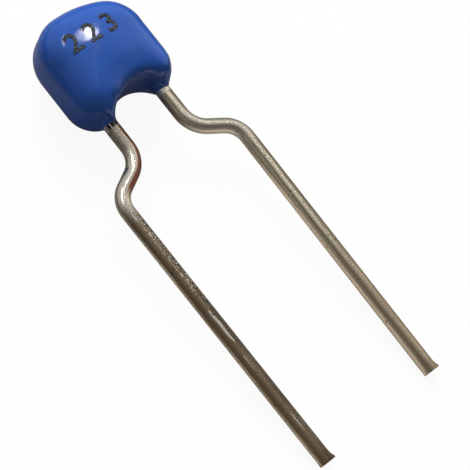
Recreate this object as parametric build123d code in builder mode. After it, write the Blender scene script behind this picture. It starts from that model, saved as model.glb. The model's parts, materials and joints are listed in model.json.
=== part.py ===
"""Radial dipped multilayer ceramic capacitor with kinked leads, lying on its back. Lengths in mm.

Local frame of the component: x across the two leads, y from the lead exits up to the crown of the
body, z out of the front face. The lead plane carries that frame, tipped until the back of the body
and the end of the longer lead rest on the floor.
"""

import os
from math import atan2, cos, sin, sqrt

from build123d import *

# Dipped epoxy body
body_width = 3.73
body_height = 3.76
body_thickness = 2.36
body_shift = -0.03
crown_radius = 3.8
crown_shift = -0.3
shoulder_radius = 1.3
left_hip_radius = 1.06
right_hip_radius = 0.95
rim_radius = 0.93
arch_height = 0.66
arch_half_span = 1.13
arch_shift = 0.13
arch_ridge = 0.27
arch_flare = 0.94
left_collar_drop = 0.05
right_collar_drop = -0.03
left_collar_spread = 0.1
right_collar_spread = 0.36
collar_rise = 0.1
collar_film = 0.02

# Tinned leads
wire_diameter = 0.5
inner_pitch = 2.23
outer_pitch = 5.0
tip_pitch = 4.8
knee_depth = 1.41
heel_depth = 2.17
knee_radius = 0.93
heel_radius = 0.79
left_reach = 12.31
right_reach = 12.04
lead_overlap = 0.12
shear_length = 0.4
shear_spread = 0.05
shear_flat = 0.03
shear_shift = 0.03
shear_edge_radius = 0.03

# Fired ceramic chip between the leads
chip_height = 1.5
chip_thickness = 0.95
chip_rise = 1.4
cap_band = 0.3
cap_wall = 0.04
solder_gap = 0.05
solder_film = 0.03
solder_inset = 0.06
solder_sag = 0.05
plate_count = 5
plate_thickness = 0.025
plate_side_margin = 0.16
plate_end_margin = 0.2
plate_face_margin = 0.12

# Sizes that follow from those above
wire_radius = wire_diameter / 2
half_width = body_width / 2
half_thickness = body_thickness / 2
left_side = body_shift - half_width
right_side = body_shift + half_width
crown_x = body_shift + crown_shift
crown_y = body_height - crown_radius
left_shoulder = crown_y + sqrt(crown_radius**2 - (left_side - crown_x) ** 2)
right_shoulder = crown_y + sqrt(crown_radius**2 - (right_side - crown_x) ** 2)
arch_radius = (arch_half_span**2 + arch_height**2) / (2 * arch_height)
chip_half_length = inner_pitch / 2 - wire_radius - solder_gap
ceramic_half_length = chip_half_length - cap_wall
chip_top = chip_rise + chip_height
plate_pitch = (chip_thickness - 2 * plate_face_margin - plate_thickness) / (2 * plate_count - 1)

# Lying pose: the back of the body, where the arch starts to round off, and the longer lead's end
# share the floor
brow_radius = arch_radius + arch_flare - sqrt(arch_flare**2 - (half_thickness - arch_ridge) ** 2)
brow_run = left_side + rim_radius - arch_shift
rest_y = arch_height - arch_radius + sqrt(brow_radius**2 - brow_run**2)
rim_z = rim_radius - half_thickness
tip_y = -max(left_reach, right_reach)
tip_z = shear_flat - wire_radius
lean = atan2(half_thickness + tip_z, rest_y - tip_y)
lift = half_thickness * cos(lean) - rest_y * sin(lean)
crown_end = (body_height - rim_radius) * cos(lean) - rim_z * sin(lean) + rim_radius
lead_end = tip_y * cos(lean) + tip_z * sin(lean)
lead_plane = Plane(
    origin=(0, -(crown_end + lead_end) / 2, lift),
    x_dir=(1, 0, 0),
    z_dir=(0, -sin(lean), cos(lean)),
)


def place(x, y, z=0):
    """A point of the component's own frame, where it lies on the floor."""
    return lead_plane.from_local_coords((x, y, z))


def section_plane(y):
    """A plane across the leads at height y: its x runs across them, its y to the back face."""
    return Plane(origin=place(0, y), x_dir=lead_plane.x_dir, z_dir=lead_plane.y_dir)


def build_lead(side, reach):
    """One wire: straight past the chip, kinked out to the board pitch, sheared off at its end."""
    inner_x = side * inner_pitch / 2
    tip_x = side * tip_pitch / 2
    with BuildPart() as lead:
        with BuildLine(lead_plane) as route:
            FilletPolyline(
                (inner_x, chip_top + lead_overlap),
                (inner_x, -knee_depth),
                (side * outer_pitch / 2, -heel_depth),
                (tip_x, shear_length - reach),
                radius=(knee_radius, heel_radius),
            )
        run_end = route.line @ 1
        run_way = route.line % 1
        start_plane = Plane(origin=route.line @ 0, x_dir=lead_plane.x_dir, z_dir=route.line % 0)
        neck_plane = Plane(origin=run_end, x_dir=lead_plane.z_dir, z_dir=run_way)
        with BuildSketch(start_plane):
            Circle(wire_radius)
        sweep(path=route.line)
        with BuildSketch(neck_plane):
            Circle(wire_radius)
        with BuildSketch(neck_plane.offset(shear_length)):
            with Locations((0, -shear_shift)):
                Ellipse(wire_radius - shear_flat, wire_radius + shear_spread)
        loft()
        cut_face = lead.faces().sort_by(Axis(run_end, run_way))[-1]
        fillet(cut_face.edges(), radius=shear_edge_radius)
    return lead.part


def build_termination(side):
    """A fired silver cap over one end of the chip: end wall and a band around it."""
    with BuildPart() as cap:
        with BuildSketch(section_plane(chip_rise)):
            with Locations((side * (chip_half_length - cap_band / 2), 0)):
                Rectangle(cap_band, chip_thickness)
        extrude(amount=chip_height)
        with BuildSketch(section_plane(chip_rise + cap_wall)):
            with Locations((side * (ceramic_half_length - cap_band / 2), 0)):
                Rectangle(cap_band, chip_thickness - 2 * cap_wall)
        extrude(amount=chip_height - 2 * cap_wall, mode=Mode.SUBTRACT)
    return cap.part


def build_plates(side):
    """One comb of printed electrode films: each starts at its own cap and stops short of the other."""
    own_end = side * ceramic_half_length
    far_end = side * (plate_end_margin - ceramic_half_length)
    film_height = chip_height - 2 * (cap_wall + plate_side_margin)
    first_level = plate_face_margin - chip_thickness / 2 + (plate_pitch if side > 0 else 0)
    with BuildPart() as plates:
        for index in range(plate_count):
            with BuildSketch(lead_plane.offset(first_level + 2 * index * plate_pitch)):
                with Locations(((own_end + far_end) / 2, chip_rise + chip_height / 2)):
                    Rectangle(abs(own_end - far_end), film_height)
            extrude(amount=plate_thickness)
    return plates.part


def build_solder(side, lead):
    """The solder that films the wire and draws from it, on both flanks, to the end of the chip."""
    wire_x = side * inner_pitch / 2
    cap_x = side * chip_half_length
    cap_z = chip_thickness / 2 - solder_inset
    mid_x = (wire_x + cap_x) / 2
    mid_z = (wire_radius + cap_z) / 2 - solder_sag
    with BuildPart() as solder:
        with BuildSketch(section_plane(chip_rise + solder_inset)):
            with BuildLine():
                Line((cap_x, -cap_z), (cap_x, cap_z))
                ThreePointArc((cap_x, cap_z), (mid_x, mid_z), (wire_x, wire_radius))
                Line((wire_x, wire_radius), (wire_x, -wire_radius))
                ThreePointArc((wire_x, -wire_radius), (mid_x, -mid_z), (cap_x, -cap_z))
            make_face()
            with Locations((wire_x, 0)):
                Circle(wire_radius + solder_film)
        extrude(amount=chip_height - 2 * solder_inset)
        add(lead, mode=Mode.SUBTRACT)
    return solder.part


left_lead = build_lead(-1, left_reach)
right_lead = build_lead(1, right_reach)
left_termination = build_termination(-1)
right_termination = build_termination(1)
left_electrodes = build_plates(-1)
right_electrodes = build_plates(1)
left_solder = build_solder(-1, left_lead)
right_solder = build_solder(1, right_lead)

# Fired dielectric block: the chip's full box, less what the caps and the electrode films take up
with BuildPart() as ceramic_block:
    with BuildSketch(section_plane(chip_rise)):
        Rectangle(2 * chip_half_length, chip_thickness)
    extrude(amount=chip_height)
    for inset in (left_termination, right_termination, left_electrodes, right_electrodes):
        add(inset, mode=Mode.SUBTRACT)

# All that the coat is dipped around, as one body
with BuildPart() as core:
    for inner in (
        ceramic_block.part,
        left_electrodes,
        right_electrodes,
        left_termination,
        right_termination,
        left_solder,
        right_solder,
        left_lead,
        right_lead,
    ):
        add(inner)

# Epoxy dip: a domed, round-edged block, an arch between the leads, a collar of run-down on each wire
with BuildPart() as epoxy_coat:
    with BuildSketch(lead_plane) as outline:
        with BuildLine():
            Polyline(
                (left_side, left_shoulder),
                (left_side, 0),
                (right_side, 0),
                (right_side, right_shoulder),
            )
            ThreePointArc(
                (right_side, right_shoulder),
                (crown_x, body_height),
                (left_side, left_shoulder),
            )
        make_face()
        fillet(outline.vertices().group_by(Axis.Y)[0].sort_by(Axis.X)[0], radius=left_hip_radius)
        fillet(outline.vertices().group_by(Axis.Y)[0].sort_by(Axis.X)[-1], radius=right_hip_radius)
        fillet(outline.vertices().sort_by(Axis.Y)[-2:], radius=shoulder_radius)
    extrude(amount=half_thickness, both=True)
    face_order = epoxy_coat.faces().sort_by(Axis(lead_plane.origin, lead_plane.z_dir))
    fillet(face_order[0].edges() + face_order[-1].edges(), radius=rim_radius)

    # The dip draws up between the two wires: an arch, drawn thin, that rounds over to both faces
    arch_axis = Axis(place(arch_shift, arch_height - arch_radius), lead_plane.z_dir)
    arch_plane = Plane(origin=arch_axis.position, x_dir=lead_plane.x_dir, z_dir=-lead_plane.y_dir)
    flare_x = arch_radius + arch_flare
    flare_z = arch_ridge + arch_flare
    with BuildSketch(arch_plane):
        with BuildLine():
            Polyline((flare_x, flare_z), (0, flare_z), (0, -flare_z), (flare_x, -flare_z))
            RadiusArc((flare_x, -flare_z), (arch_radius, -arch_ridge), arch_flare)
            Line((arch_radius, -arch_ridge), (arch_radius, arch_ridge))
            RadiusArc((arch_radius, arch_ridge), (flare_x, flare_z), arch_flare)
        make_face()
    revolve(axis=arch_axis, mode=Mode.SUBTRACT)

    # Each collar starts inside the brow of the arch and runs out in a film on the wire
    for side, drop, spread in (
        (-1, left_collar_drop, left_collar_spread),
        (1, right_collar_drop, right_collar_spread),
    ):
        collar_x = side * inner_pitch / 2
        collar_reach = wire_radius + spread
        arch_run = collar_x - side * collar_reach - arch_shift
        collar_top = arch_height - arch_radius + sqrt(arch_radius**2 - arch_run**2) + collar_rise
        wire_axis = Axis(place(collar_x, 0), lead_plane.y_dir)
        collar_plane = Plane(origin=wire_axis.position, x_dir=lead_plane.x_dir, z_dir=lead_plane.z_dir)
        with BuildSketch(collar_plane):
            with BuildLine():
                Polyline(
                    (wire_radius + collar_film, -drop),
                    (0, -drop),
                    (0, collar_top),
                    (collar_reach, collar_top),
                )
                TangentArc(
                    (wire_radius + collar_film, -drop),
                    (collar_reach, collar_top),
                    tangent=(0, 1),
                )
            make_face()
        revolve(axis=wire_axis)

    add(core.part, mode=Mode.SUBTRACT)

os.makedirs("parts", exist_ok=True)
for name, piece in (
    ("epoxy_coat", epoxy_coat.part),
    ("ceramic_block", ceramic_block.part),
    ("left_electrodes", left_electrodes),
    ("right_electrodes", right_electrodes),
    ("left_termination", left_termination),
    ("right_termination", right_termination),
    ("left_solder", left_solder),
    ("right_solder", right_solder),
    ("left_lead", left_lead),
    ("right_lead", right_lead),
):
    piece.label = name
    export_step(piece, f"parts/{name}.step")
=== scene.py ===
"""A blue dipped ceramic capacitor lying on its back: its dressed pieces, its finishes and its stage."""

import json
import math

import bmesh
import bpy
from bpy.props import (
    FloatProperty,
    FloatVectorProperty,
    IntProperty,
    PointerProperty,
    StringProperty,
)
from mathutils import Matrix, Vector
from mathutils.kdtree import KDTree


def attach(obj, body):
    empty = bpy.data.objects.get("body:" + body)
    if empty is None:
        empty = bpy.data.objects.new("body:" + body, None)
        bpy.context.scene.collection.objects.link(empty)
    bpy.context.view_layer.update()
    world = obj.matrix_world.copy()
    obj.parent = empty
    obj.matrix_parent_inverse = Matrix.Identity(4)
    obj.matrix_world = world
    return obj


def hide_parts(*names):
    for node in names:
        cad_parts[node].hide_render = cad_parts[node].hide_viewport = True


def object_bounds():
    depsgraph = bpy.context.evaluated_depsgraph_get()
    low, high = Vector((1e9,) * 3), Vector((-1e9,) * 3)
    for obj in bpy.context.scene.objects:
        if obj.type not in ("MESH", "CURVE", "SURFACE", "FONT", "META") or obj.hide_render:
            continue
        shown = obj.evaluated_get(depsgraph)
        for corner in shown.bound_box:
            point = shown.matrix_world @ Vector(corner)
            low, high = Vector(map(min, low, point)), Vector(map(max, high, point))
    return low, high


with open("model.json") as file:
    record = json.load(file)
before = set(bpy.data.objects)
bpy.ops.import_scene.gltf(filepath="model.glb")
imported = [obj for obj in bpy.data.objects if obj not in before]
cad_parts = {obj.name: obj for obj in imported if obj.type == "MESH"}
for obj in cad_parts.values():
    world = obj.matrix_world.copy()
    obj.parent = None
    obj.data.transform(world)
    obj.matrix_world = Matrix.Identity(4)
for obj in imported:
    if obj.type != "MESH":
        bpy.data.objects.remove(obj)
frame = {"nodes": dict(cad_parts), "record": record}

bl_info = {
    "name": "Dipped Ceramic Capacitor",
    "version": (1, 0, 0),
    "blender": (4, 5, 0),
    "location": "View3D > Sidebar > Capacitor",
    "description": "Builds the coat, the leads, the number and the stage of a dipped ceramic capacitor",
    "category": "Object",
}

CAD_BOX = [list(corner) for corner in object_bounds()]
NODES = frame["nodes"]
MILLI = 0.001

# The plane of the leads, from the two pins that the record mounts the part by
LEFT_PIN, RIGHT_PIN = frame["record"]["mounts"]
PIN_MIDDLE = (Vector(LEFT_PIN["pos_m"]) + Vector(RIGHT_PIN["pos_m"])) / 2
PIN_WAY = -(Vector(LEFT_PIN["axis"]) + Vector(RIGHT_PIN["axis"])) / 2
ACROSS = Vector((1, 0, 0))
UPWARD = Vector((0, PIN_WAY.y, PIN_WAY.z)).normalized()
OUTWARD = ACROSS.cross(UPWARD)


class WireSizes(bpy.types.PropertyGroup):
    """Sizes of the two tinned leads, in millimetres."""

    radius: FloatProperty(
        name="Wire radius",
        description="Half the thickness of the drawn wire",
        default=LEFT_PIN["dims"]["r_mm"],
        min=0.05,
    )
    top: FloatProperty(
        name="Inner end",
        description="How far the wire runs up inside the coat",
        default=3.02,
    )
    inner_pitch: FloatProperty(
        name="Pitch in the coat",
        description="Distance between the wires where they leave the coat",
        default=2.23,
    )
    outer_pitch: FloatProperty(
        name="Pitch at the kink",
        description="Distance between the wires at the lower corner of the kink",
        default=5.0,
    )
    tip_pitch: FloatProperty(
        name="Pitch at the ends",
        description="Distance between the wires at their sheared ends",
        default=4.8,
    )
    knee_depth: FloatProperty(
        name="Knee depth",
        description="Depth of the upper corner of the kink below the exits",
        default=1.41,
    )
    heel_depth: FloatProperty(
        name="Heel depth",
        description="Depth of the lower corner of the kink below the exits",
        default=2.17,
    )
    knee_radius: FloatProperty(
        name="Knee radius",
        description="Bend radius of the upper corner, at the middle of the wire",
        default=0.93,
    )
    heel_radius: FloatProperty(
        name="Heel radius",
        description="Bend radius of the lower corner, at the middle of the wire",
        default=0.79,
    )
    left_reach: FloatProperty(
        name="Left length",
        description="Length of the left wire below the exits",
        default=12.31,
    )
    right_reach: FloatProperty(
        name="Right length",
        description="Length of the right wire below the exits",
        default=12.04,
    )
    shear: FloatProperty(
        name="Sheared length",
        description="Length of the end that the cutter pressed out of round",
        default=0.4,
    )
    shear_spread: FloatProperty(
        name="Sheared spread",
        description="How far the cut end stands proud of the wire at its widest",
        default=0.05,
    )
    shear_flat: FloatProperty(
        name="Sheared flat",
        description="How far the cut end is pressed in across its thickness",
        default=0.03,
    )
    shear_shift: FloatProperty(
        name="Sheared shift",
        description="How far the cutter pushed the end sideways",
        default=0.03,
    )
    sides: IntProperty(
        name="Sides",
        description="Faces around the wire",
        default=48,
        min=12,
    )


class CoatSizes(bpy.types.PropertyGroup):
    """How the dipped coat is worked up from its solid, in millimetres."""

    exit_rise: FloatProperty(
        name="Exit rise",
        description="From the middle of the pins up to the lower edge of the coat",
        default=7.2091,
    )
    grain: FloatProperty(
        name="Skin grid",
        description="Grid of the skin that is drawn over the solid",
        default=0.045,
        min=0.03,
    )
    passes: IntProperty(
        name="Flow passes",
        description="How often the wet coat levels itself before it sets",
        default=14,
    )
    front_crown: FloatProperty(
        name="Front crown",
        description="How far the middle of the printed face stands proud of a flat one",
        default=0.1,
    )
    back_crown: FloatProperty(
        name="Back crown",
        description="How far the middle of the back stands proud of a flat one",
        default=0.025,
    )
    run_down: FloatVectorProperty(
        name="Run-down",
        description="Middle of the drop that the dip left on the right wire",
        default=(1.17, 0.68, 0.5),
    )
    run_down_size: FloatVectorProperty(
        name="Run-down size",
        description="Half sizes of that drop",
        default=(0.42, 0.54, 0.56),
    )
    brow_x: FloatProperty(
        name="Brow middle",
        description="Middle, across the leads, of the ring that fills the brow over the arch",
        default=0.13,
    )
    brow_y: FloatProperty(
        name="Brow hub",
        description="Middle of the brow's ring above the exits; below them where negative",
        default=-0.637,
    )
    brow_rise: FloatProperty(
        name="Brow rise",
        description="Height of the brow's ring over the plane of the leads",
        default=0.73,
    )
    brow_ring: FloatProperty(
        name="Brow ring",
        description="Radius of the middle line of the brow's ring",
        default=1.66,
    )
    brow_girth: FloatProperty(
        name="Brow girth",
        description="Radius of the brow's ring in section",
        default=0.38,
    )
    brow_left: FloatProperty(
        name="Brow left",
        description="How far the brow's ring runs to the left of its middle",
        subtype="ANGLE",
        default=math.radians(40),
    )
    brow_right: FloatProperty(
        name="Brow right",
        description="How far the brow's ring runs to the right of its middle",
        subtype="ANGLE",
        default=math.radians(48),
    )
    ripple: FloatProperty(
        name="Ripple",
        description="Height of the slow waves that the dip sets with",
        default=0.01,
    )


class NumberSizes(bpy.types.PropertyGroup):
    """The plain number printed on the front face, in millimetres."""

    text: StringProperty(
        name="Number",
        description="The plain number on the front face",
        default="223",
    )
    height: FloatProperty(
        name="Height",
        description="Size of the digits",
        default=0.95,
    )
    across: FloatProperty(
        name="Across",
        description="Middle of the number across the leads",
        default=-0.28,
    )
    along: FloatProperty(
        name="Along",
        description="Middle of the number above the exits",
        default=2.49,
    )
    bold: FloatProperty(
        name="Bold",
        description="How far the ink spread beyond the stamp's edges",
        default=0.018,
    )
    film: FloatProperty(
        name="Ink film",
        description="Thickness of the ink",
        default=0.006,
    )


class Colours(bpy.types.PropertyGroup):
    """Colours of the finishes."""

    epoxy: FloatVectorProperty(
        name="Epoxy",
        description="Blue of the dipped coat",
        subtype="COLOR",
        default=(0.016, 0.083, 0.4),
        min=0,
        max=1,
    )
    epoxy_thin: FloatVectorProperty(
        name="Thin epoxy",
        description="Blue where the coat ran thin",
        subtype="COLOR",
        default=(0.02, 0.097, 0.45),
        min=0,
        max=1,
    )
    tin: FloatVectorProperty(
        name="Tin",
        description="Clean tin plate on the wire",
        subtype="COLOR",
        default=(0.74, 0.68, 0.58),
        min=0,
        max=1,
    )
    tarnish: FloatVectorProperty(
        name="Tarnish",
        description="Tarnished tin in the drawing lines",
        subtype="COLOR",
        default=(0.4, 0.335, 0.25),
        min=0,
        max=1,
    )
    # Pale tin painted where highlights and reflections stand on the wire: over the kinks, on the collars at
    # the exits, and in the broken lines and sparkle of the browned run
    painted_highlight_tin: FloatVectorProperty(
        name="Bright tin",
        description="Tin that the bending tool left bright",
        subtype="COLOR",
        default=(0.9, 0.86, 0.78),
        min=0,
        max=1,
    )
    brown: FloatVectorProperty(
        name="Brown tarnish",
        description="Straight run of the left lead, where the tin has browned",
        subtype="COLOR",
        default=(0.27, 0.19, 0.115),
        min=0,
        max=1,
    )
    copper: FloatVectorProperty(
        name="Copper",
        description="Copper under the tin, where the plate was rubbed off",
        subtype="COLOR",
        default=(0.2, 0.06, 0.035),
        min=0,
        max=1,
    )
    ink: FloatVectorProperty(
        name="Ink",
        description="Ink of the printed number",
        subtype="COLOR",
        default=(0.012, 0.014, 0.02),
        min=0,
        max=1,
    )


class StageSizes(bpy.types.PropertyGroup):
    """Camera and floor of the stage."""

    azimuth: FloatProperty(
        name="Azimuth",
        description="Bearing of the camera from the front of the part",
        subtype="ANGLE",
        default=math.radians(-67.0877),
    )
    elevation: FloatProperty(
        name="Elevation",
        description="Height of the camera over the floor, as an angle",
        subtype="ANGLE",
        default=math.radians(58.6716),
    )
    roll: FloatProperty(
        name="Roll",
        description="Turn of the camera about its line of sight",
        subtype="ANGLE",
        default=math.radians(29.8157),
    )
    distance: FloatProperty(
        name="Distance",
        description="From the point that the camera looks at",
        unit="LENGTH",
        default=0.06,
    )
    aim: FloatVectorProperty(
        name="Aim",
        description="The point that the camera looks at",
        subtype="XYZ",
        unit="LENGTH",
        default=(-0.0000633, -0.0007703, 0.0007406),
    )
    lens: FloatProperty(
        name="Lens",
        description="Focal length on a 36 mm frame",
        default=148.87,
    )
    floor: FloatProperty(
        name="Floor",
        description="Side of the square floor",
        unit="LENGTH",
        default=3.0,
    )


def laid():
    """The matrix that lays a piece, drawn in millimetres about the exits, on the plane of the leads."""
    origin = PIN_MIDDLE + UPWARD * bpy.context.scene.coat_sizes.exit_rise * MILLI
    turn = Matrix((ACROSS, UPWARD, OUTWARD)).transposed().to_4x4()
    return Matrix.Translation(Vector((0, origin.y, origin.z))) @ turn @ Matrix.Scale(MILLI, 4)


def clear_selection():
    """Nothing selected, and in object mode."""
    if bpy.context.mode != "OBJECT":
        bpy.ops.object.mode_set(mode="OBJECT")
    bpy.ops.object.select_all(action="DESELECT")


def pick(obj):
    """Selects one object and makes it the active one."""
    clear_selection()
    obj.select_set(True)
    bpy.context.view_layer.objects.active = obj
    return obj


def added(name):
    """Names the object that the last operator added, and its mesh."""
    obj = bpy.context.active_object
    obj.name = name
    obj.data.name = name
    return obj


def set_place(obj, matrix):
    """Moves an object by a matrix and writes the move into its mesh."""
    pick(obj)
    obj.matrix_world = matrix
    bpy.ops.object.transform_apply(location=True, rotation=True, scale=True)


def settle(obj, kind, **settings):
    """Adds a modifier, sets it and applies it."""
    pick(obj)
    bpy.ops.object.modifier_add(type=kind)
    modifier = obj.modifiers[-1]
    for key, value in settings.items():
        setattr(modifier, key, value)
    bpy.ops.object.modifier_apply(modifier=modifier.name)


def select_faces(obj, wanted):
    """Selects, in edit mode, the faces whose middle passes the test."""
    bpy.ops.mesh.select_mode(type="FACE")
    bpy.ops.mesh.select_all(action="DESELECT")
    shape = bmesh.from_edit_mesh(obj.data)
    for face in shape.faces:
        if wanted(face.calc_center_median()):
            face.select_set(True)
    bmesh.update_edit_mesh(obj.data)


def select_points(obj, wanted):
    """Selects, in edit mode, the points whose place passes the test."""
    bpy.ops.mesh.select_mode(type="VERT")
    bpy.ops.mesh.select_all(action="DESELECT")
    shape = bmesh.from_edit_mesh(obj.data)
    for point in shape.verts:
        if wanted(point.co):
            point.select_set(True)
    shape.select_flush_mode()
    bmesh.update_edit_mesh(obj.data)


def dress(obj, material):
    """Gives a finished piece its material and the body it rides on."""
    obj.data.materials.clear()
    obj.data.materials.append(material)
    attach(obj, "root")


class Value:
    """A socket that takes part in Python arithmetic: each operation adds one Math node."""

    def __init__(self, finish, socket):
        self.finish = finish
        self.socket = socket

    def math(self, operation, *terms):
        return self.finish.value("ShaderNodeMath", {"operation": operation}, dict(enumerate(terms)))

    def __add__(self, other):
        return self.math("ADD", self, other)

    def __radd__(self, other):
        return self.math("ADD", other, self)

    def __sub__(self, other):
        return self.math("SUBTRACT", self, other)

    def __rsub__(self, other):
        return self.math("SUBTRACT", other, self)

    def __mul__(self, other):
        return self.math("MULTIPLY", self, other)

    def __rmul__(self, other):
        return self.math("MULTIPLY", other, self)


class Finish:
    """One node tree, filled from the shader back to its coordinates."""

    def __init__(self, tree):
        self.tree = tree
        tree.nodes.clear()

    def node(self, kind, settings=None, sockets=None):
        """Adds a node: its settings are set first, then the values or links of its sockets."""
        node = self.tree.nodes.new(kind)
        for key, value in (settings or {}).items():
            setattr(node, key, value)
        for key, value in (sockets or {}).items():
            self.feed(self.find(node.inputs, key), value)
        return node

    def find(self, sockets, key):
        """A socket by its number, its identifier or its name."""
        if isinstance(key, int):
            return sockets[key]
        for socket in sockets:
            if socket.identifier == key:
                return socket
        return next(socket for socket in sockets if socket.name == key and socket.enabled)

    def feed(self, socket, value):
        """Links a value to a socket, or sets the number or colour on it."""
        if isinstance(value, Value):
            self.tree.links.new(value.socket, socket)
        elif socket.type == "RGBA" and len(value) == 3:
            socket.default_value = (*value, 1)
        else:
            socket.default_value = value

    def value(self, kind, settings=None, sockets=None, out=0):
        """Adds a node and returns one of its outputs."""
        return Value(self, self.find(self.node(kind, settings, sockets).outputs, out))

    def noise(self, place, scale, detail=2.0, roughness=0.5):
        return self.value(
            "ShaderNodeTexNoise",
            {"noise_dimensions": "3D"},
            {"Vector": place, "Scale": scale, "Detail": detail, "Roughness": roughness},
        )

    def cells(self, place, scale):
        return self.value(
            "ShaderNodeTexVoronoi",
            {"feature": "F1"},
            {"Vector": place, "Scale": scale},
            "Distance",
        )

    def step(self, value, low, high):
        """Zero below low, one above high, smooth between them."""
        return self.value(
            "ShaderNodeMapRange",
            {"interpolation_type": "SMOOTHSTEP"},
            {"Value": value, "From Min": low, "From Max": high, "To Min": 0.0, "To Max": 1.0},
        )

    def blend(self, factor, low, high):
        return self.value(
            "ShaderNodeMix",
            {"data_type": "RGBA"},
            {"Factor_Float": factor, "A_Color": low, "B_Color": high},
            "Result_Color",
        )

    def stretch(self, place, by):
        return self.value("ShaderNodeMapping", {"vector_type": "POINT"}, {"Vector": place, "Scale": by})

    def object_place(self):
        return self.value("ShaderNodeTexCoord", None, None, "Object")

    def bump(self, height, strength, distance, normal=None):
        sockets = {"Height": height, "Strength": strength, "Distance": distance}
        if normal is not None:
            sockets["Normal"] = normal
        return self.value("ShaderNodeBump", None, sockets)

    def surface(self, **sockets):
        """A Principled shader to the output, with its sockets given by name."""
        named = {key.replace("_", " "): value for key, value in sockets.items()}
        shader = self.value("ShaderNodeBsdfPrincipled", None, named)
        self.node("ShaderNodeOutputMaterial", None, {"Surface": shader})


def new_finish(name):
    """A new material and the finish that fills it."""
    material = bpy.data.materials.new(name)
    material.use_nodes = True
    return material, Finish(material.node_tree)


# Tones that the finishes mix in beside their main colours
FILLER_SPECK = (0.12, 0.2, 0.42)
# The next four tones are the right wire's bands, laid by its side: a paler far left flank, a pale painted
# reflection, painted shade on the right flank and a dark brown painted reflection line
PAINTED_LEFT_FLANK = (0.62, 0.54, 0.43)
PAINTED_PALE_REFLECTION = (0.92, 0.85, 0.7)
PAINTED_RIGHT_SHADE = (0.3, 0.26, 0.19)
PAINTED_DARK_LINE = (0.3, 0.22, 0.11)
STREAK_LOW = (0.4, 0.31, 0.2)
FRECKLE = (0.17, 0.135, 0.09)
# Painted shade on the right flank of the left wire's browned run
PAINTED_SHADE_BROWN = (0.07, 0.05, 0.03)
# Dark bars at the left wire's exit, painted reflections of the coat's edge
PAINTED_EXIT_REFLECTION = (0.03, 0.028, 0.025)
PIT = (0.06, 0.045, 0.03)
THIN_INK = (0.08, 0.12, 0.22)
# Pale specks in the ink, painted sparkle
PAINTED_INK_SPARKLE = (0.4, 0.46, 0.55)
CERAMIC_DARK = (0.4, 0.32, 0.24)
CERAMIC_PALE = (0.6, 0.52, 0.42)
PORE = (0.18, 0.14, 0.1)

# Where marks on the wire come in or fade, in millimetres along it from its inner end
EXIT_FADES = (3.12, 3.32)
COLLAR_FADES = (3.02, 3.14)
KINK_COMES = (3.6, 4.4)
KINK_FADES = (5.8, 6.8)
RUB_COMES = (2.9, 3.3)
RUB_FADES = (5.3, 6.1)
BROWN_COMES = (5.9, 6.9)
# Where the painted sparkle on the left wire's browned run comes in and fades
SPARKLE_COMES = (5.6, 6.2)
SPARKLE_FADES = (9.0, 11.0)
LOW_STREAK_COMES = (9.0, 12.8)

# The width, in metres, over which the left wire's marks give way to the right wire's
LEFT_TO_RIGHT = (-0.0002, 0.0002)


def glossy_epoxy(colours):
    """Dipped epoxy: slow drifts of the blue, a faint orange peel, a few specks of filler."""
    material, look = new_finish("glossy_blue_epoxy")
    place = look.object_place()
    drift = look.step(look.noise(place, 420.0, 3.0), 0.35, 0.65)
    shade = look.blend(drift, tuple(colours.epoxy), tuple(colours.epoxy_thin))
    speck = 1 - look.step(look.cells(place, 900.0), 0.035, 0.06)
    shade = look.blend(speck * 0.3, shade, FILLER_SPECK)
    peel = look.noise(place, 2600.0, 2.0)
    bumps = look.bump(peel, 0.12, 0.00001)
    look.surface(
        Base_Color=shade,
        Roughness=0.09 + 0.05 * look.noise(place, 900.0, 2.0) + 0.1 * speck,
        Normal=look.bump(speck, 0.4, 0.00001, bumps),
        IOR=1.52,
    )
    return material


def right_painted_bands(look, wander, along):
    """Plate of the right lead, banded by the side of the wire: a paler far left flank, a pale painted
    reflection, a brown painted reflection line near the middle and painted shade on the right flank, all
    wandering a little, and a browner run toward the end.
    """
    shade = look.blend(look.step(wander, -0.16, -0.09), PAINTED_LEFT_FLANK, PAINTED_PALE_REFLECTION)
    shade = look.blend(look.step(wander, 0.11, 0.17), shade, PAINTED_RIGHT_SHADE)
    seam = look.step(wander, -0.075, -0.03) * (1 - look.step(wander, 0.01, 0.05))
    shade = look.blend(seam * 0.85, shade, PAINTED_DARK_LINE)
    low = look.step(along, *LOW_STREAK_COMES) * 0.65 * look.step(wander, -0.12, -0.08)
    return look.blend(low, shade, STREAK_LOW)


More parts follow.
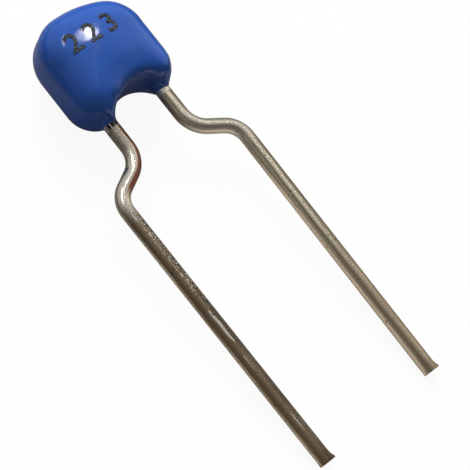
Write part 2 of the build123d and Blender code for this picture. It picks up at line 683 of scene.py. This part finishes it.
def tinned_wire(colours):
    """Drawn tin plate with die lines and pits, browned on one wire and streaked on the other, with a kink
    painted paler as a painted highlight, and painted highlights, painted reflections and painted shade laid
    by the side of the wire.
    """
    material, look = new_finish("tinned_wire")
    place = look.value("ShaderNodeAttribute", {"attribute_name": "straight"}, None, "Vector")
    parts = look.node("ShaderNodeSeparateXYZ", None, {0: place})
    across, depth, along = (Value(look, parts.outputs[name]) for name in "XYZ")
    aside = look.value("ShaderNodeSeparateXYZ", None, {0: look.object_place()}, "X")
    left = 1 - look.step(aside, *LEFT_TO_RIGHT)
    painted_highlight_tin = tuple(colours.painted_highlight_tin)

    # Texture that both wires share
    lines = look.noise(look.stretch(place, (9.0, 9.0, 0.16)), 1.6, 4.0, 0.6)
    fine = look.noise(look.stretch(place, (26.0, 26.0, 0.5)), 1.6, 3.0, 0.6)
    drift = look.noise(look.stretch(place, (1.6, 1.6, 0.35)), 1.0, 3.0)
    spangle = look.noise(place, 16.0, 3.0, 0.65)
    pitting = look.cells(look.stretch(place, (6.0, 6.0, 3.0)), 1.0)
    pits = (1 - look.step(pitting, 0.1, 0.2)) * look.step(look.noise(place, 0.8, 1.0), 0.5, 0.62)
    kink = look.step(along, *KINK_COMES) * (1 - look.step(along, *KINK_FADES))
    dull = look.step(0.5 * lines + 0.4 * drift + 0.1 * spangle, 0.38, 0.62) * (1 - 0.75 * kink)
    # The side of the wire that the painted reflection and painted shade bands below are laid by; the bands
    # wander a little with noise
    flank = 0.875 * across + 0.485 * depth
    wander = flank + 0.16 * (drift - 0.5) + 0.07 * (lines - 0.5)
    shade = look.blend(dull, tuple(colours.tin), tuple(colours.tarnish))
    # The right wire takes bands of painted reflection and painted shade
    shade = look.blend(0.85 * (1 - left), shade, right_painted_bands(look, wander, along))
    freckles = look.step(spangle, 0.5, 0.64) * (0.12 + 0.48 * left)
    shade = look.blend(freckles, shade, FRECKLE)
    # The kinks' tin is painted paler, a painted highlight over the bend
    shade = look.blend(kink * 0.6, shade, painted_highlight_tin)

    # Copper where the left wire was rubbed
    rubbed = look.step(across, 0.03, 0.1) * look.step(along, *RUB_COMES) * (1 - look.step(along, *RUB_FADES))
    rubbed = rubbed * left * look.step(0.5 * lines + 0.5 * spangle, 0.26, 0.46)
    shade = look.blend(rubbed * 0.95, shade, tuple(colours.copper))

    # Browned run of the left wire: its far left flank is left pale as a painted reflection, its right flank
    # is painted dark as shade, and broken lines of painted highlight and painted sparkle lie on it
    worn = look.step(along, *BROWN_COMES) * left
    # The far left flank stays pale, a painted reflection; the right flank takes painted shade
    off_painted_pale_edge = look.step(flank, -0.2, -0.15)
    edge = look.step(flank + 0.1 * lines, 0.14, 0.2)
    brown = look.blend(edge, tuple(colours.brown), PAINTED_SHADE_BROWN)
    shade = look.blend(worn * off_painted_pale_edge * (0.7 + 0.3 * drift), shade, brown)
    # Painted highlight in broken lines in a narrow band on one side, and pale painted sparkle on the side
    # past the middle
    painted_highlight_dashes = look.step(look.noise(look.stretch(place, (9.0, 9.0, 1.1)), 1.0, 1.0), 0.64, 0.69)
    painted_highlight_dashes = painted_highlight_dashes * worn * look.step(flank, 0.0, 0.03) * (1 - look.step(flank, 0.1, 0.15))
    painted_wire_sparkle = look.step(look.noise(place, 26.0, 2.0, 0.6), 0.53, 0.62) * look.step(along, *SPARKLE_COMES)
    painted_wire_sparkle = painted_wire_sparkle * left * (1 - look.step(along, *SPARKLE_FADES)) * look.step(wander, 0.03, 0.08)
    shade = look.blend(look.step(painted_highlight_dashes + 0.8 * painted_wire_sparkle, 0.1, 0.9), shade, painted_highlight_tin)

    # Collars at the exits, painted pale as a highlight, and on the left wire crossed by dark bars that are
    # painted reflections of the coat's edge
    exits = (1 - look.step(along, *EXIT_FADES)) * left
    collar = (1 - look.step(along, *COLLAR_FADES)) * (1 - left)
    painted_reflection_stripes = look.step(look.noise(look.stretch(place, (7.0, 7.0, 0.3)), 1.0, 2.0), 0.5, 0.58)
    shade = look.blend(look.step(exits + collar, 0.2, 0.6), shade, painted_highlight_tin)
    shade = look.blend(exits * painted_reflection_stripes, shade, PAINTED_EXIT_REFLECTION)
    shade = look.blend(pits * 0.75, shade, PIT)

    bright_kink = kink * left
    grain = (0.45 * lines + 0.3 * fine + 0.25 * spangle) * (1 - 0.7 * bright_kink)
    tooth = 0.14 * dull + 0.08 * fine + 0.2 * pits
    look.surface(
        Base_Color=shade,
        Metallic=1.0,
        Roughness=0.26 + tooth - 0.1 * bright_kink + 0.12 * worn - 0.2 * painted_highlight_dashes,
        Normal=look.bump(pits, 0.5, -0.00002, look.bump(grain, 0.6, 0.000014)),
    )
    return material


def printed_ink(colours):
    """Stamped ink: near black, grainy enough to glitter, broken where the stamp carried little of it, and
    dotted with pale specks of painted sparkle.
    """
    material, look = new_finish("printed_ink")
    place = look.object_place()
    worn = look.step(look.noise(place, 9000.0, 4.0, 0.7), 0.54, 0.66)
    grain = look.noise(place, 16000.0, 2.0, 0.6)
    painted_ink_sparkle = look.step(look.noise(place, 22000.0, 1.0), 0.68, 0.74)
    shade = look.blend(worn * 0.6, tuple(colours.ink), THIN_INK)
    look.surface(
        Base_Color=look.blend(painted_ink_sparkle, shade, PAINTED_INK_SPARKLE),
        Roughness=0.16 + 0.2 * worn,
        Normal=look.bump(grain, 0.8, 0.00002),
    )
    return material


def fired_ceramic():
    """Matt fired dielectric: grains of two tans and a scatter of pores."""
    material, look = new_finish("fired_ceramic")
    place = look.object_place()
    grains = look.noise(place, 16000.0, 4.0, 0.65)
    pores = 1 - look.step(look.cells(place, 9000.0), 0.1, 0.2)
    shade = look.blend(grains, CERAMIC_DARK, CERAMIC_PALE)
    look.surface(
        Base_Color=look.blend(pores * 0.6, shade, PORE),
        Roughness=0.72 + 0.18 * grains,
        Normal=look.bump(grains - pores, 0.3, 0.000006),
    )
    return material


def plated_metal(name, bright, dark, scale, roughness):
    """A plated or fired metal: patches of two tones and a fine tooth."""
    material, look = new_finish(name)
    place = look.object_place()
    patches = look.noise(place, scale, 4.0, 0.6)
    tooth = look.noise(place, scale * 6, 2.0)
    look.surface(
        Base_Color=look.blend(look.step(patches, 0.35, 0.65), bright, dark),
        Metallic=1.0,
        Roughness=roughness + 0.2 * patches,
        Normal=look.bump(tooth, 0.3, 0.000005),
    )
    return material


class CAPACITOR_OT_coat(bpy.types.Operator):
    """Draws a smooth skin over the coat's solid and its brow, crowns the faces and lets them ripple"""

    bl_idname = "capacitor.coat"
    bl_label = "Dipped coat"
    bl_options = {"REGISTER", "UNDO"}

    # Lengths in millimetres about the exits, and counts of passes
    weld = 0.0004
    bore_slack = 0.001
    bore_foot = -0.2
    chip_margin = 0.3
    chip_depth = 0.5
    chip_span = (1.35, 3.1)
    face_depth = 1.1
    crown_middle = 1.9
    crown_tip = 0.12
    crown_reach = 1.5
    brow_span = (0.08, 2.3)
    brow_depth = 0.12
    brow_side = 1.75
    brow_passes = 75
    exit_top = 0.7
    exit_reach = 0.6
    exit_passes = 12
    wave_length = 1.1

    def execute(self, context):
        sizes = context.scene.coat_sizes
        wires = context.scene.wire_sizes
        coat = bpy.data.objects.new("coat", NODES["epoxy_coat"].data.copy())
        context.collection.objects.link(coat)
        set_place(coat, laid().inverted())
        bpy.ops.object.mode_set(mode="EDIT")
        bpy.ops.mesh.select_all(action="SELECT")
        bpy.ops.mesh.remove_doubles(threshold=self.weld)
        wire_x = wires.inner_pitch / 2

        def inside(middle):
            off_wire = math.hypot(abs(middle.x) - wire_x, middle.z)
            by_wire = off_wire < wires.radius + self.bore_slack and middle.y > self.bore_foot
            low, high = self.chip_span
            in_width = abs(middle.x) < wire_x + self.chip_margin
            return by_wire or (in_width and abs(middle.z) < self.chip_depth and low < middle.y < high)

        select_faces(coat, inside)
        bpy.ops.mesh.delete(type="FACE")
        bpy.ops.mesh.select_all(action="SELECT")
        bpy.ops.mesh.fill_holes(sides=0)
        bpy.ops.mesh.primitive_uv_sphere_add(
            segments=48,
            ring_count=24,
            radius=1,
            location=sizes.run_down,
            scale=sizes.run_down_size,
        )
        self.add_brow(sizes)
        bpy.ops.mesh.select_all(action="SELECT")
        bpy.ops.mesh.normals_make_consistent(inside=False)
        bpy.ops.object.mode_set(mode="OBJECT")
        settle(coat, "REMESH", mode="VOXEL", voxel_size=sizes.grain, adaptivity=0)
        settle(coat, "SMOOTH", factor=0.5, iterations=sizes.passes)
        bpy.ops.object.mode_set(mode="EDIT")
        for side, crown in ((1, sizes.front_crown), (-1, sizes.back_crown)):
            select_points(
                coat,
                lambda place: side * place.z > self.face_depth
                and math.hypot(place.x, place.y - self.crown_middle) < self.crown_tip,
            )
            bpy.ops.transform.translate(
                value=(0, 0, side * crown),
                use_proportional_edit=True,
                proportional_edit_falloff="SMOOTH",
                proportional_size=self.crown_reach,
                use_proportional_connected=True,
            )
        self.ease_brow(coat)
        self.ease_exits(coat, wire_x)
        bpy.ops.object.mode_set(mode="OBJECT")
        waves = bpy.data.textures.new("dip_waves", "CLOUDS")
        waves.noise_scale = self.wave_length
        waves.noise_depth = 1
        settle(coat, "DISPLACE", texture=waves, texture_coords="LOCAL", strength=sizes.ripple, mid_level=0.5)
        bpy.data.textures.remove(waves)
        set_place(coat, laid())
        pick(coat)
        bpy.ops.object.shade_smooth()
        if not len(coat.data.polygons):
            raise RuntimeError("the coat came out empty")
        dress(coat, glossy_epoxy(context.scene.capacitor_colours))
        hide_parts("epoxy_coat")
        return {"FINISHED"}

    def add_brow(self, sizes):
        """Adds part of a ring over the arch, so that the printed face runs on down to its edge."""
        hub = Vector((sizes.brow_x, sizes.brow_y, sizes.brow_rise))
        out = Matrix.Rotation(sizes.brow_left, 3, "Z") @ Vector((0, sizes.brow_ring, 0))
        bpy.ops.mesh.primitive_circle_add(
            vertices=32,
            radius=sizes.brow_girth,
            fill_type="NGON",
            location=hub + out,
            rotation=(math.radians(90), 0, math.radians(90) + sizes.brow_left),
        )
        bpy.ops.mesh.spin(steps=60, angle=sizes.brow_left + sizes.brow_right, center=hub, axis=(0, 0, 1))

    def ease_brow(self, coat):
        """Lets the printed face roll over into the arch."""
        low, high = self.brow_span
        select_points(
            coat,
            lambda place: low < place.y < high
            and place.z > self.brow_depth
            and abs(place.x) < self.brow_side,
        )
        bpy.ops.mesh.vertices_smooth(factor=0.5, repeat=self.brow_passes)

    def ease_exits(self, coat, wire_x):
        """Lets the coat run out evenly on each wire."""
        select_points(
            coat,
            lambda place: place.y < self.exit_top
            and math.hypot(abs(place.x) - wire_x, place.z) < self.exit_reach,
        )
        bpy.ops.mesh.vertices_smooth(factor=0.5, repeat=self.exit_passes)


def corner(before, at, after, radius):
    """Where a bend of that radius starts and ends, its middle and its signed angle."""
    way_in = (at - before).normalized()
    way_out = (after - at).normalized()
    angle = math.atan2(way_in.x * way_out.y - way_in.y * way_out.x, way_in.dot(way_out))
    cut = radius * math.tan(abs(angle) / 2)
    start = at - way_in * cut
    side = Vector((-way_in.y, way_in.x, 0)) * math.copysign(radius, angle)
    return start, at + way_out * cut, start + side, angle


def run_wire(start, end, count):
    """Extrudes the selected ring from one point to another in a number of steps."""
    for _ in range(count):
        bpy.ops.mesh.extrude_region_move(TRANSFORM_OT_translate={"value": (end - start) / count})


class CAPACITOR_OT_leads(bpy.types.Operator):
    """Draws each lead as one wire: straight, two bends, straight, and an end pressed by the cutter"""

    bl_idname = "capacitor.leads"
    bl_label = "Tinned leads"
    bl_options = {"REGISTER", "UNDO"}

    inner_steps = 24
    bend_steps = 20
    slope_steps = 4
    lower_steps = 60
    weld = 0.0005
    sample_step = 0.02
    crease = math.radians(40)
    # Shares of the sheared length, of the flare, and of the rim that is left, ring by ring
    shear_shares = (
        (0.3, 0.06, 1),
        (0.5, 0.2, 1),
        (0.68, 0.45, 1),
        (0.82, 0.75, 1),
        (0.92, 0.97, 1),
        (0.965, 1, 0.985),
        (0.99, 1, 0.95),
        (1.0, 1, 0.9),
    )

    def execute(self, context):
        sizes = context.scene.wire_sizes
        finish = tinned_wire(context.scene.capacitor_colours)
        for name, side, reach in (("left", -1, sizes.left_reach), ("right", 1, sizes.right_reach)):
            wire = self.wire(sizes, name + "_wire", side, reach)
            set_place(wire, laid())
            pick(wire)
            bpy.ops.object.shade_smooth_by_angle(angle=self.crease)
            dress(wire, finish)
            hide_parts(name + "_lead")
        return {"FINISHED"}

    def wire(self, sizes, name, side, reach):
        """One wire, drawn from its inner end to its sheared one."""
        top = Vector((side * sizes.inner_pitch / 2, sizes.top, 0))
        knee = Vector((top.x, -sizes.knee_depth, 0))
        heel = Vector((side * sizes.outer_pitch / 2, -sizes.heel_depth, 0))
        neck = Vector((side * sizes.tip_pitch / 2, sizes.shear - reach, 0))
        knee_in, knee_out, knee_hub, knee_turn = corner(top, knee, heel, sizes.knee_radius)
        heel_in, heel_out, heel_hub, heel_turn = corner(knee, heel, neck, sizes.heel_radius)
        clear_selection()
        bpy.ops.mesh.primitive_circle_add(
            vertices=sizes.sides,
            radius=sizes.radius,
            fill_type="NGON",
            location=top,
            rotation=(math.radians(90), 0, 0),
        )
        wire = added(name)
        bpy.ops.object.transform_apply(location=True, rotation=True, scale=True)
        bpy.ops.object.mode_set(mode="EDIT")
        bpy.ops.mesh.select_mode(type="VERT")
        bpy.ops.mesh.select_all(action="SELECT")
        run_wire(top, knee_in, self.inner_steps)
        bpy.ops.mesh.spin(steps=self.bend_steps, angle=-knee_turn, center=knee_hub, axis=(0, 0, 1))
        run_wire(knee_out, heel_in, self.slope_steps)
        bpy.ops.mesh.spin(steps=self.bend_steps, angle=-heel_turn, center=heel_hub, axis=(0, 0, 1))
        run_wire(heel_out, neck, self.lower_steps)
        self.shear_end(sizes, neck, (neck - heel).normalized())
        bpy.ops.mesh.select_all(action="SELECT")
        bpy.ops.mesh.remove_doubles(threshold=self.weld)
        bpy.ops.mesh.normals_make_consistent(inside=False)
        bpy.ops.object.mode_set(mode="OBJECT")
        route = [top, knee_in]
        route += self.arc(knee_in, knee_hub, knee_turn) + self.arc(heel_in, heel_hub, heel_turn)
        route += [heel_out, neck + (neck - heel).normalized() * sizes.shear]
        self.straighten(wire, route)
        return wire

    def arc(self, start, hub, turn, count=40):
        """Points on a bend, from its start through its turn."""
        return [
            hub + Matrix.Rotation(turn * step / count, 3, "Z") @ (start - hub)
            for step in range(count + 1)
        ]

    def shear_end(self, sizes, neck, way):
        """The last rings flare to the burr, turn over a small edge and close in a flat cut."""
        last_wide, last_thin, last_shift, last_run = 1.0, 1.0, 0.0, 0.0
        wide_end = 1 + sizes.shear_spread / sizes.radius
        thin_end = 1 - sizes.shear_flat / sizes.radius
        for run, flare, rim in self.shear_shares:
            wide = (1 + (wide_end - 1) * flare) * rim
            thin = (1 + (thin_end - 1) * run) * rim
            shift = sizes.shear_shift * flare
            step = way * sizes.shear * (run - last_run) + Vector((shift - last_shift, 0, 0))
            bpy.ops.mesh.extrude_region_move(TRANSFORM_OT_translate={"value": step})
            middle = neck + way * sizes.shear * run + Vector((shift, 0, 0))
            bpy.ops.transform.resize(
                value=(wide / last_wide, 1, thin / last_thin),
                center_override=middle,
            )
            last_wide, last_thin, last_shift, last_run = wide, thin, shift, run

    def straighten(self, wire, route):
        """Writes, on each point, its place on the wire as if it had never been bent."""
        samples = []
        length = 0.0
        for start, end in zip(route, route[1:]):
            run = (end - start).length
            if run < 1e-6:
                continue
            way = (end - start) / run
            count = max(1, int(run / self.sample_step))
            for index in range(count):
                along = run * index / count
                samples.append((start + way * along, way, length + along))
            length += run
        tree = KDTree(len(samples))
        for index, (place, way, along) in enumerate(samples):
            tree.insert(place, index)
        tree.balance()
        straight = wire.data.attributes.new("straight", "FLOAT_VECTOR", "POINT")
        for point in wire.data.vertices:
            place, way, along = samples[tree.find(Vector((point.co.x, point.co.y, 0)))[1]]
            off = point.co - place
            across = off.dot(Vector((-way.y, way.x, 0)))
            straight.data[point.index].vector = (across, off.z, along + off.dot(way))


class CAPACITOR_OT_number(bpy.types.Operator):
    """Stamps a plain number on the front face as a thin film of ink that follows the coat"""

    bl_idname = "capacitor.number"
    bl_label = "Printed number"
    bl_options = {"REGISTER", "UNDO"}

    spacing = 1.5
    curve_steps = 6
    start_height = 1.3
    weld = 0.001

    def execute(self, context):
        sizes = context.scene.number_sizes
        coat = bpy.data.objects["coat"]
        clear_selection()
        bpy.ops.object.text_add(location=(0, 0, 0))
        number = added("number")
        number.data.body = sizes.text
        number.data.size = sizes.height
        number.data.align_x = "CENTER"
        number.data.align_y = "CENTER"
        number.data.space_character = self.spacing
        number.data.offset = sizes.bold
        number.data.resolution_u = self.curve_steps
        bpy.ops.object.convert(target="MESH")
        number = added("number")
        set_place(number, Matrix.Translation((sizes.across, sizes.along, self.start_height)))
        bpy.ops.object.mode_set(mode="EDIT")
        bpy.ops.mesh.select_all(action="SELECT")
        bpy.ops.mesh.remove_doubles(threshold=self.weld)
        bpy.ops.mesh.subdivide(number_cuts=2)
        bpy.ops.object.mode_set(mode="OBJECT")
        set_place(number, laid())
        settle(
            number,
            "SHRINKWRAP",
            target=coat,
            wrap_method="PROJECT",
            use_project_z=True,
            use_negative_direction=True,
            use_positive_direction=False,
            offset=sizes.film * MILLI / 2,
        )
        settle(number, "SOLIDIFY", thickness=sizes.film * MILLI * 1.5, offset=0)
        if not len(number.data.polygons):
            raise RuntimeError("the number came out empty")
        dress(number, printed_ink(context.scene.capacitor_colours))
        return {"FINISHED"}


class CAPACITOR_OT_inside(bpy.types.Operator):
    """Gives the chip, its electrodes, its caps and its solder their finishes"""

    bl_idname = "capacitor.inside"
    bl_label = "Inner pieces"
    bl_options = {"REGISTER", "UNDO"}

    def execute(self, context):
        nickel = plated_metal("nickel_film", (0.58, 0.55, 0.5), (0.42, 0.39, 0.35), 7000.0, 0.35)
        silver = plated_metal("silver_cap", (0.8, 0.79, 0.76), (0.6, 0.58, 0.54), 4000.0, 0.3)
        solder = plated_metal("wetted_solder", (0.66, 0.66, 0.66), (0.46, 0.46, 0.47), 2500.0, 0.22)
        finishes = {
            "ceramic_block": fired_ceramic(),
            "left_electrodes": nickel,
            "right_electrodes": nickel,
            "left_termination": silver,
            "right_termination": silver,
            "left_solder": solder,
            "right_solder": solder,
        }
        for name, material in finishes.items():
            node = NODES[name]
            for slot in node.material_slots:
                slot.material = material
            if not node.material_slots:
                node.data.materials.append(material)
        return {"FINISHED"}


class CAPACITOR_OT_stage(bpy.types.Operator):
    """Sets the pale floor, the soft lights, the room around them and the camera"""

    bl_idname = "capacitor.stage"
    bl_label = "Stage"
    bl_options = {"REGISTER", "UNDO"}

    # Lengths and places in metres, tones of the floor, and the way that a lamp's long side runs
    floor_drop = 0.000002
    # The floor's painted pool of light in gloss: its reach to the sides, where it dims behind, the tone
    # beyond it and its own tone; then the tone thrown back and the tone the camera sees
    pool_sides = (0.0026, 0.006)
    pool_back = (-0.001, 0.003)
    floor_far = (0.08, 0.076, 0.07)
    floor_pool_tone = (0.8, 0.75, 0.68)
    floor_thrown = (0.34, 0.33, 0.32)
    floor_seen = (0.9, 0.9, 0.9)
    lamp_aim = Vector((0, 0.004, 0.001))
    lamp_side = Vector((0.82, 0.57, 0))
    # Name, way to the lamp, distance, long and short size, power, colour, and whether gloss shows it
    lamps = (
        ("back_softbox", (0.42, 0.75, 0.55), 0.26, (0.2, 0.16), 0.76, (1.0, 0.98, 0.95), False),
        ("front_softbox", (-0.2, -0.3, 0.93), 0.3, (0.2, 0.2), 0.04, (1.0, 0.98, 0.96), False),
        ("small_lamp", (0.393, 0.341, 0.854), 0.3, (0.036, 0.014), 0.058, (1.0, 1.0, 1.0), True),
        ("high_lamp", (-0.09, 0.51, 0.85), 0.3, (0.12, 0.05), 0.09, (1.0, 1.0, 1.0), True),
        ("strip_lamp", (0.1, 0.03, 0.99), 0.3, (0.26, 0.006), 0.003, (1.0, 1.0, 1.0), True),
    )
    # Way to each pale wall, how squarely it is faced where it is full and where it ends, and its colour
    walls = (
        ((0.1, 0.85, 0.5), 0.95, 0.1, (0.5, 0.49, 0.47)),
        ((0.93, -0.05, 0.35), 0.97, 0.68, (0.78, 0.73, 0.64)),
    )
    dim_room = (0.13, 0.122, 0.11)

    def execute(self, context):
        sizes = context.scene.stage_sizes
        self.floor(sizes)
        self.room(context.scene)
        for lamp in self.lamps:
            self.lamp(*lamp)
        self.camera(context.scene, sizes)
        context.scene.view_settings.view_transform = "Standard"
        return {"FINISHED"}

    def floor(self, sizes):
        """Paper that shows white to the camera, a softer grey in what it throws back, and in gloss a painted
        pool of light in a band through the part, fainter behind it and dark beyond, with a little painted
        glow in the pool.
        """
        clear_selection()
        bpy.ops.mesh.primitive_plane_add(size=sizes.floor, location=(0, 0, CAD_BOX[0][2] - self.floor_drop))
        floor = added("floor")
        material, look = new_finish("pale_floor")
        rays = look.node("ShaderNodeLightPath")
        camera, gloss, through = (
            Value(look, rays.outputs[name])
            for name in ("Is Camera Ray", "Is Glossy Ray", "Is Transmission Ray")
        )
        place = look.node("ShaderNodeSeparateXYZ", None, {0: look.object_place()})
        aside = Value(look, place.outputs["X"])
        behind = Value(look, place.outputs["Y"])
        # A painted pool of light on the floor, seen in gloss: full in a band through the part, fainter
        # behind it
        near = 1 - look.step(aside.math("ABSOLUTE", aside), *self.pool_sides)
        near = near * (1 - 0.75 * look.step(behind, *self.pool_back))
        mirrored = look.blend(near, self.floor_far, self.floor_pool_tone)
        tone = look.blend(gloss, self.floor_thrown, mirrored)
        tone = look.blend(camera, tone, self.floor_seen)
        paper = look.value("ShaderNodeBsdfDiffuse", None, {"Color": tone})
        glow = look.value("ShaderNodeEmission", None, {"Color": (1, 1, 1), "Strength": 1.0})
        # Besides the white that the camera sees, a little painted glow in the pool for gloss rays
        shown = 0.93 * camera + 0.08 * gloss * near + 0.93 * through
        mixed = look.value("ShaderNodeMixShader", None, {0: shown, 1: paper, 2: glow})
        look.node("ShaderNodeOutputMaterial", None, {"Surface": mixed})
        floor.data.materials.append(material)

    def room(self, scene):
        """A dim warm room with a pale wall behind and a paler one to the right."""
        world = bpy.data.worlds.new("soft_room")
        world.use_nodes = True
        scene.world = world
        look = Finish(world.node_tree)
        way = look.value("ShaderNodeTexCoord", None, None, "Generated")
        shade = self.dim_room
        for toward, narrow, wide, colour in self.walls:
            facing = look.value(
                "ShaderNodeVectorMath",
                {"operation": "DOT_PRODUCT"},
                {0: way, 1: tuple(Vector(toward).normalized())},
                "Value",
            )
            shade = look.blend(look.step(facing, wide, narrow), shade, colour)
        air = look.value("ShaderNodeBackground", None, {"Color": shade, "Strength": 1.0})
        look.node("ShaderNodeOutputWorld", None, {"Surface": air})

    def lamp(self, name, way, distance, size, power, colour, in_gloss):
        """A soft lamp that faces the part."""
        way = Vector(way).normalized()
        place = self.lamp_aim + way * distance
        clear_selection()
        bpy.ops.object.light_add(type="AREA", location=place)
        lamp = bpy.context.active_object
        lamp.name = name
        side = (self.lamp_side - way * way.dot(self.lamp_side)).normalized()
        lamp.rotation_euler = Matrix((side, way.cross(side), way)).transposed().to_euler()
        lamp.data.shape = "ELLIPSE"
        lamp.data.size, lamp.data.size_y = size
        lamp.data.energy = power
        lamp.data.color = colour
        lamp.visible_glossy = in_gloss

    def camera(self, scene, sizes):
        """The camera, placed by its bearing and height about the point that it looks at."""
        flat = math.cos(sizes.elevation)
        back = Vector(
            (
                math.sin(sizes.azimuth) * flat,
                -math.cos(sizes.azimuth) * flat,
                math.sin(sizes.elevation),
            )
        )
        clear_selection()
        bpy.ops.object.camera_add(location=Vector(sizes.aim) + back * sizes.distance)
        camera = bpy.context.active_object
        turn = back.to_track_quat("Z", "Y").to_matrix() @ Matrix.Rotation(sizes.roll, 3, "Z")
        camera.rotation_euler = turn.to_euler()
        camera.data.lens = sizes.lens
        camera.data.sensor_width = 36
        camera.data.clip_start = 0.001
        camera.data.clip_end = 20
        scene.camera = camera


class CAPACITOR_PT_panel(bpy.types.Panel):
    """Lists the pieces, the stage and the sizes they are made from"""

    bl_idname = "CAPACITOR_PT_panel"
    bl_label = "Dipped capacitor"
    bl_space_type = "VIEW_3D"
    bl_region_type = "UI"
    bl_category = "Capacitor"

    def draw(self, context):
        column = self.layout.column()
        for operator in OPERATORS:
            column.operator(operator.bl_idname)
        for group in GROUPS:
            column.separator()
            settings = getattr(context.scene, group)
            for name in GROUPS[group].__annotations__:
                column.prop(settings, name)


GROUPS = {
    "wire_sizes": WireSizes,
    "coat_sizes": CoatSizes,
    "number_sizes": NumberSizes,
    "capacitor_colours": Colours,
    "stage_sizes": StageSizes,
}
OPERATORS = (
    CAPACITOR_OT_coat,
    CAPACITOR_OT_leads,
    CAPACITOR_OT_number,
    CAPACITOR_OT_inside,
    CAPACITOR_OT_stage,
)


def register():
    for name, group in GROUPS.items():
        bpy.utils.register_class(group)
        setattr(bpy.types.Scene, name, PointerProperty(type=group))
    for operator in OPERATORS:
        bpy.utils.register_class(operator)
    bpy.utils.register_class(CAPACITOR_PT_panel)


def unregister():
    bpy.utils.unregister_class(CAPACITOR_PT_panel)
    for operator in reversed(OPERATORS):
        bpy.utils.unregister_class(operator)
    for name, group in reversed(GROUPS.items()):
        delattr(bpy.types.Scene, name)
        bpy.utils.unregister_class(group)


def main():
    register()
    bpy.ops.capacitor.coat()
    bpy.ops.capacitor.leads()
    bpy.ops.capacitor.number()
    bpy.ops.capacitor.inside()
    bpy.ops.capacitor.stage()
    bpy.context.view_layer.update()


if __name__ == "__main__":
    main()
